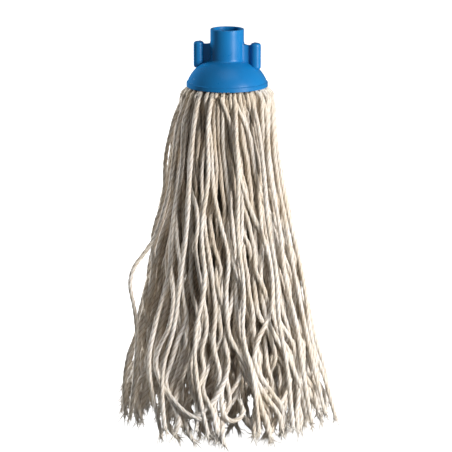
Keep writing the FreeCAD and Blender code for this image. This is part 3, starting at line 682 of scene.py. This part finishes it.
def cotton_material():
    """Undyed soft cotton: cream with fine fibres; painted shade makes it darker and browner in the grooves
    between plies and where the tone is low.
    """
    material, nodes, links, shader = new_material("cotton_yarn")
    tone = node(nodes, "ShaderNodeAttribute", attribute_name="tone")
    groove = node(nodes, "ShaderNodeAttribute", attribute_name="groove")
    uv = node(nodes, "ShaderNodeUVMap", uv_map="UVMap")
    split = node(nodes, "ShaderNodeSeparateXYZ")
    links.new(uv.outputs["UV"], split.inputs[0])
    lean = node(nodes, "ShaderNodeMath", operation="MULTIPLY_ADD")
    lean.inputs[1].default_value = 1 / PLY_PITCH
    links.new(split.outputs["Y"], lean.inputs[0])
    links.new(split.outputs["X"], lean.inputs[2])
    round_scale = node(nodes, "ShaderNodeMath", operation="MULTIPLY")
    round_scale.inputs[1].default_value = 46.0
    links.new(lean.outputs[0], round_scale.inputs[0])
    long_scale = node(nodes, "ShaderNodeMath", operation="MULTIPLY")
    long_scale.inputs[1].default_value = 300.0
    links.new(split.outputs["Y"], long_scale.inputs[0])
    fibre_place = node(nodes, "ShaderNodeCombineXYZ")
    links.new(round_scale.outputs[0], fibre_place.inputs[0])
    links.new(long_scale.outputs[0], fibre_place.inputs[1])
    links.new(tone.outputs["Fac"], fibre_place.inputs[2])
    fibre = node(nodes, "ShaderNodeTexNoise", Scale=1.0, Detail=3.0, Roughness=0.6)
    links.new(fibre_place.outputs[0], fibre.inputs["Vector"])
    place = node(nodes, "ShaderNodeTexCoord")
    blotch = node(nodes, "ShaderNodeTexNoise", Scale=38.0, Detail=2.0, Roughness=0.5)
    links.new(place.outputs["Object"], blotch.inputs["Vector"])

    # the tone's colour: brown at the low end is painted shade for inner strands and the yarn's top, cream
    # at the high end is the yarn's own colour
    tone_colour_with_painted_shade = ramp(nodes, [(0.0, (0.38, 0.30, 0.22)), (0.45, (0.76, 0.69, 0.60)),
                               (0.8, (0.89, 0.85, 0.795)), (1.0, (0.94, 0.912, 0.872))])
    links.new(tone.outputs["Fac"], tone_colour_with_painted_shade.inputs["Fac"])
    warm = node(nodes, "ShaderNodeMix", data_type="RGBA", blend_type="MULTIPLY")
    stain = ramp(nodes, [(0.30, (0.90, 0.84, 0.74)), (0.62, (1.0, 1.0, 1.0))])
    links.new(blotch.outputs["Fac"], stain.inputs["Fac"])
    warm.inputs["Factor"].default_value = 0.85
    links.new(tone_colour_with_painted_shade.outputs["Color"], warm.inputs[6])
    links.new(stain.outputs["Color"], warm.inputs[7])
    # painted shade: darker and browner in the grooves between plies
    painted_groove_shade = ramp(nodes, [(0.0, (0.62, 0.55, 0.47)), (0.5, (0.94, 0.92, 0.90)), (1.0, (1.0, 1.0, 1.0))])
    links.new(groove.outputs["Fac"], painted_groove_shade.inputs["Fac"])
    groove_shaded_colour = node(nodes, "ShaderNodeMix", data_type="RGBA", blend_type="MULTIPLY")
    groove_shaded_colour.inputs["Factor"].default_value = 0.9
    links.new(warm.outputs[2], groove_shaded_colour.inputs[6])
    links.new(painted_groove_shade.outputs["Color"], groove_shaded_colour.inputs[7])
    thread = ramp(nodes, [(0.30, (0.74, 0.70, 0.65)), (0.62, (1.0, 1.0, 1.0))])
    links.new(fibre.outputs["Fac"], thread.inputs["Fac"])
    final = node(nodes, "ShaderNodeMix", data_type="RGBA", blend_type="MULTIPLY")
    final.inputs["Factor"].default_value = 0.8
    links.new(groove_shaded_colour.outputs[2], final.inputs[6])
    links.new(thread.outputs["Color"], final.inputs[7])
    links.new(final.outputs[2], shader.inputs["Base Color"])

    lump = node(nodes, "ShaderNodeTexNoise", Scale=420.0, Detail=3.0, Roughness=0.6)
    links.new(place.outputs["Object"], lump.inputs["Vector"])
    height = node(nodes, "ShaderNodeMath", operation="MULTIPLY_ADD")
    height.inputs[1].default_value = 0.4
    links.new(fibre.outputs["Fac"], height.inputs[0])
    links.new(lump.outputs["Fac"], height.inputs[2])
    bump = node(nodes, "ShaderNodeBump", Strength=0.75, Distance=0.0011)
    links.new(height.outputs[0], bump.inputs["Height"])
    links.new(bump.outputs["Normal"], shader.inputs["Normal"])
    shader.inputs["Roughness"].default_value = 0.92
    shader.inputs["Specular IOR Level"].default_value = 0.18
    shader.inputs["Sheen Weight"].default_value = 0.12
    shader.inputs["Sheen Roughness"].default_value = 0.6
    return material


def plastic_material(name, colour, dark, roughness, grain):
    """Moulded plastic with a faint grain, slight colour drift and scuffs that dull it."""
    material, nodes, links, shader = new_material(name)
    place = node(nodes, "ShaderNodeTexCoord")
    drift = node(nodes, "ShaderNodeTexNoise", Scale=22.0, Detail=3.0, Roughness=0.55)
    fine = node(nodes, "ShaderNodeTexNoise", Scale=1600.0, Detail=2.0, Roughness=0.5)
    scuff = node(nodes, "ShaderNodeTexNoise", Scale=95.0, Detail=6.0, Roughness=0.7)
    for texture in (drift, fine, scuff):
        links.new(place.outputs["Object"], texture.inputs["Vector"])
    shade = ramp(nodes, [(0.30, dark), (0.68, colour)])
    links.new(drift.outputs["Fac"], shade.inputs["Fac"])
    links.new(shade.outputs["Color"], shader.inputs["Base Color"])
    rough = node(nodes, "ShaderNodeMapRange")
    rough.inputs["From Min"].default_value = 0.35
    rough.inputs["From Max"].default_value = 0.75
    rough.inputs["To Min"].default_value = roughness
    rough.inputs["To Max"].default_value = roughness + 0.14
    links.new(scuff.outputs["Fac"], rough.inputs["Value"])
    links.new(rough.outputs["Result"], shader.inputs["Roughness"])
    bump = node(nodes, "ShaderNodeBump", Strength=grain, Distance=0.0001)
    links.new(fine.outputs["Fac"], bump.inputs["Height"])
    links.new(bump.outputs["Normal"], shader.inputs["Normal"])
    shader.inputs["Specular IOR Level"].default_value = 0.5
    return material


def steel_material():
    """Drawn steel wire."""
    material, nodes, links, shader = new_material("ring_steel")
    place = node(nodes, "ShaderNodeTexCoord")
    drawn = node(nodes, "ShaderNodeTexNoise", Scale=700.0, Detail=3.0)
    links.new(place.outputs["Object"], drawn.inputs["Vector"])
    shade = ramp(nodes, [(0.3, (0.42, 0.42, 0.43)), (0.7, (0.64, 0.64, 0.65))])
    links.new(drawn.outputs["Fac"], shade.inputs["Fac"])
    links.new(shade.outputs["Color"], shader.inputs["Base Color"])
    shader.inputs["Metallic"].default_value = 1.0
    shader.inputs["Roughness"].default_value = 0.35
    return material


def dress(node_name, material):
    """Gives a CAD piece its material."""
    piece = frame["nodes"][node_name]
    piece.data.materials.clear()
    piece.data.materials.append(material)


# ---- camera and yarn ----------------------------------------------------------------------

def build_camera():
    """A long lens, a little above the head, as in the photograph."""
    data = bpy.data.cameras.new("camera")
    data.sensor_width = 36
    data.lens = 244.4
    data.clip_start = 0.05
    data.clip_end = 60
    camera = bpy.data.objects.new("camera", data)
    bpy.context.collection.objects.link(camera)
    camera.location = (-0.0011, -2.881, 0.446)
    camera.rotation_euler = (math.radians(90 - 12.48), 0, 0)
    bpy.context.scene.camera = camera


def tuft_of(line):
    """The tuft whose wedge a strand mostly hangs in."""
    middle = line[int(len(line) * 0.6)]
    azimuth = math.degrees(math.atan2(middle[1], middle[0])) % 360
    return TUFTS[int(azimuth // (360 / len(TUFTS)))]


def blend_tuft(piece, body):
    """Bakes a strand piece's transform into its mesh; its tuft's joint place is read but not used."""
    x, y, z = JOINTS[body]["pos_m"]
    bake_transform(piece)


def build_loose(material):
    """The stated cords, one piece each; returns their lines."""
    lines = {}
    for name, (body, length, route) in LOOSE.items():
        line = even(spline_points(name, lead_in(route[0]) + route[1:]))
        lines[name] = line
        tubes = Tubes()
        add_strand(tubes, line, random.uniform(*LOOSE_TONE), frayed=False, thick=STRAND_RADIUS)
        piece = tubes.build("loose_" + name)
        piece.data.materials.append(material)
        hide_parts(name)
        blend_tuft(piece, body)
    return lines


def build_skirt(material, loose_lines):
    """All other strands, one mesh per tuft and the inner ones in three core pieces."""
    depths = np.clip(RIM_LEVEL - LEVELS, 0, None)
    feature_lines = []
    for route in FEATURES:
        spots = [front_spot(*spot) for spot in route]
        feature_lines.append(smooth_line(lead_in(spots[0])[:2] + spots))
    fixed_lines = list(loose_lines.values()) + feature_lines
    fixed = np.array([at_levels(line) for line in fixed_lines])
    taken = [math.atan2(line[0][1], line[0][0]) for line in fixed_lines]
    wished, layers = free_strands(depths, taken)
    places = settle_strands(wished, fixed, ROUNDS)

    groups = {body: Tubes() for body in TUFTS}
    core = [Tubes(), Tubes(), Tubes()]
    for line in feature_lines:
        add_strand(groups[tuft_of(line)], line, random.uniform(*FEATURE_TONE))
    for name, line in loose_lines.items():
        add_wisps(groups[LOOSE[name][0]], line, CORD_WISP_TONE)
    for number, (place, layer) in enumerate(zip(places, layers)):
        azimuth = math.atan2(place[-1][1], place[-1][0])
        hem = hem_level(azimuth) + random.normal(0, HEM_SCATTER) + layer.lift
        kept = LEVELS >= max(hem, LOWEST_END)
        line = smooth_line(np.column_stack([place, LEVELS])[kept])
        # inner layers take darker tones: painted shade deep in the skirt
        tone = random.uniform(*layer.tones)
        holder = core[number % len(core)] if layer.inner else groups[tuft_of(line)]
        add_strand(holder, line, tone)

    for body, tubes in groups.items():
        number = body[-2:]
        piece = tubes.build("tuft_yarn_" + number)
        piece.data.materials.append(material)
        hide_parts("yarn_tuft_" + number)
        blend_tuft(piece, body)
    for number, tubes in enumerate(core, 1):
        piece = tubes.build("core_yarn_%d" % number)
        piece.data.materials.append(material)
        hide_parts("yarn_core")
        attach(piece, "head")


def build_fold(material):
    """The loops over the steel ring, hidden in the bell."""
    tubes = Tubes()
    loop = STRAND_RADIUS + WIRE_RADIUS + FOLD_GAP
    for number in range(FOLD_LOOPS):
        azimuth = (number + 0.5) / FOLD_LOOPS * 2 * math.pi
        arc = [(RING_RADIUS + loop * math.cos(turn), RING_LEVEL + loop * math.sin(turn))
               for turn in np.linspace(math.pi, 0, 7)]
        profile = [(arc[0][0], fold_low[2])] + arc + [(arc[-1][0], fold_low[2])]
        points = [(radius * math.cos(azimuth), radius * math.sin(azimuth), level)
                  for radius, level in profile]
        add_strand(tubes, smooth_line(points), FOLD_PAINTED_SHADE_TONE, frayed=False)
    piece = tubes.build("yarn_fold")
    piece.data.materials.append(material)
    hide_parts("clamped_yarn")
    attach(piece, "head")


SKIRT_MIDDLE = Vector((0, 0, -0.2))
LIGHTS = [
    # name, place, width and height, watts, colour, and whether glossy surfaces mirror it
    ("key", (1.88, -1.82, 0.42), (0.65, 1.0), 91, (1.0, 0.985, 0.97), True),
    ("back_left", (-1.9, 1.6, 0.25), (0.6, 1.4), 108, (0.98, 0.99, 1.0), False),
    ("right_fill", (2.6, -0.4, 0.1), (1.2, 1.0), 20, (1, 1, 1), False),
    ("top", (0.2, -0.6, 2.3), (1.6, 1.6), 5, (1, 1, 1), True),
]


def build_stage():
    """A plain pale floor just under the strands' tips, which sends no light back up."""
    bpy.ops.mesh.primitive_plane_add(size=40, location=(0, 0, LOWEST_WISP - 1 * MM))
    floor = bpy.context.object
    floor.name = "floor"
    material, nodes, links, shader = new_material("floor_pale")
    shader.inputs["Base Color"].default_value = (0.90, 0.90, 0.90, 1)
    shader.inputs["Roughness"].default_value = 0.9
    shader.inputs["Specular IOR Level"].default_value = 0.0
    shader.inputs["Emission Color"].default_value = (1, 1, 1, 1)
    shader.inputs["Emission Strength"].default_value = 0.80
    floor.data.materials.append(material)
    floor.visible_diffuse = False
    floor.visible_glossy = False


def area_light(name, place, size, power, colour, mirrored):
    """A soft rectangular light that faces the skirt's middle."""
    data = bpy.data.lights.new(name, "AREA")
    data.shape = "RECTANGLE"
    data.size, data.size_y = size
    data.energy = power
    data.color = colour
    light = bpy.data.objects.new(name, data)
    bpy.context.collection.objects.link(light)
    light.location = place
    light.rotation_euler = (SKIRT_MIDDLE - Vector(place)).to_track_quat("-Z", "Y").to_euler()
    light.visible_glossy = mirrored


def build_lights():
    """Plain studio light: key from the right, rim from behind on the left, and weak fills."""
    for light in LIGHTS:
        area_light(*light)
    world = bpy.data.worlds.new("studio")
    world.use_nodes = True
    background = world.node_tree.nodes["Background"]
    background.inputs["Color"].default_value = (1, 1, 1, 1)
    background.inputs["Strength"].default_value = 0.13
    bpy.context.scene.world = world
    bpy.context.scene.view_settings.view_transform = "Standard"


build_camera()
cotton = cotton_material()
loose_lines = build_loose(cotton)
build_skirt(cotton, loose_lines)
build_fold(cotton)
dress("socket_cap", plastic_material("blue_plastic", (0.006, 0.190, 0.490), (0.005, 0.160, 0.430),
                                     roughness=0.27, grain=0.08))
dress("clamp_plug", plastic_material("plug_plastic", (0.70, 0.70, 0.67), (0.62, 0.62, 0.59),
                                     roughness=0.5, grain=0.15))
dress("binding_ring", steel_material())
build_stage()
build_lights()
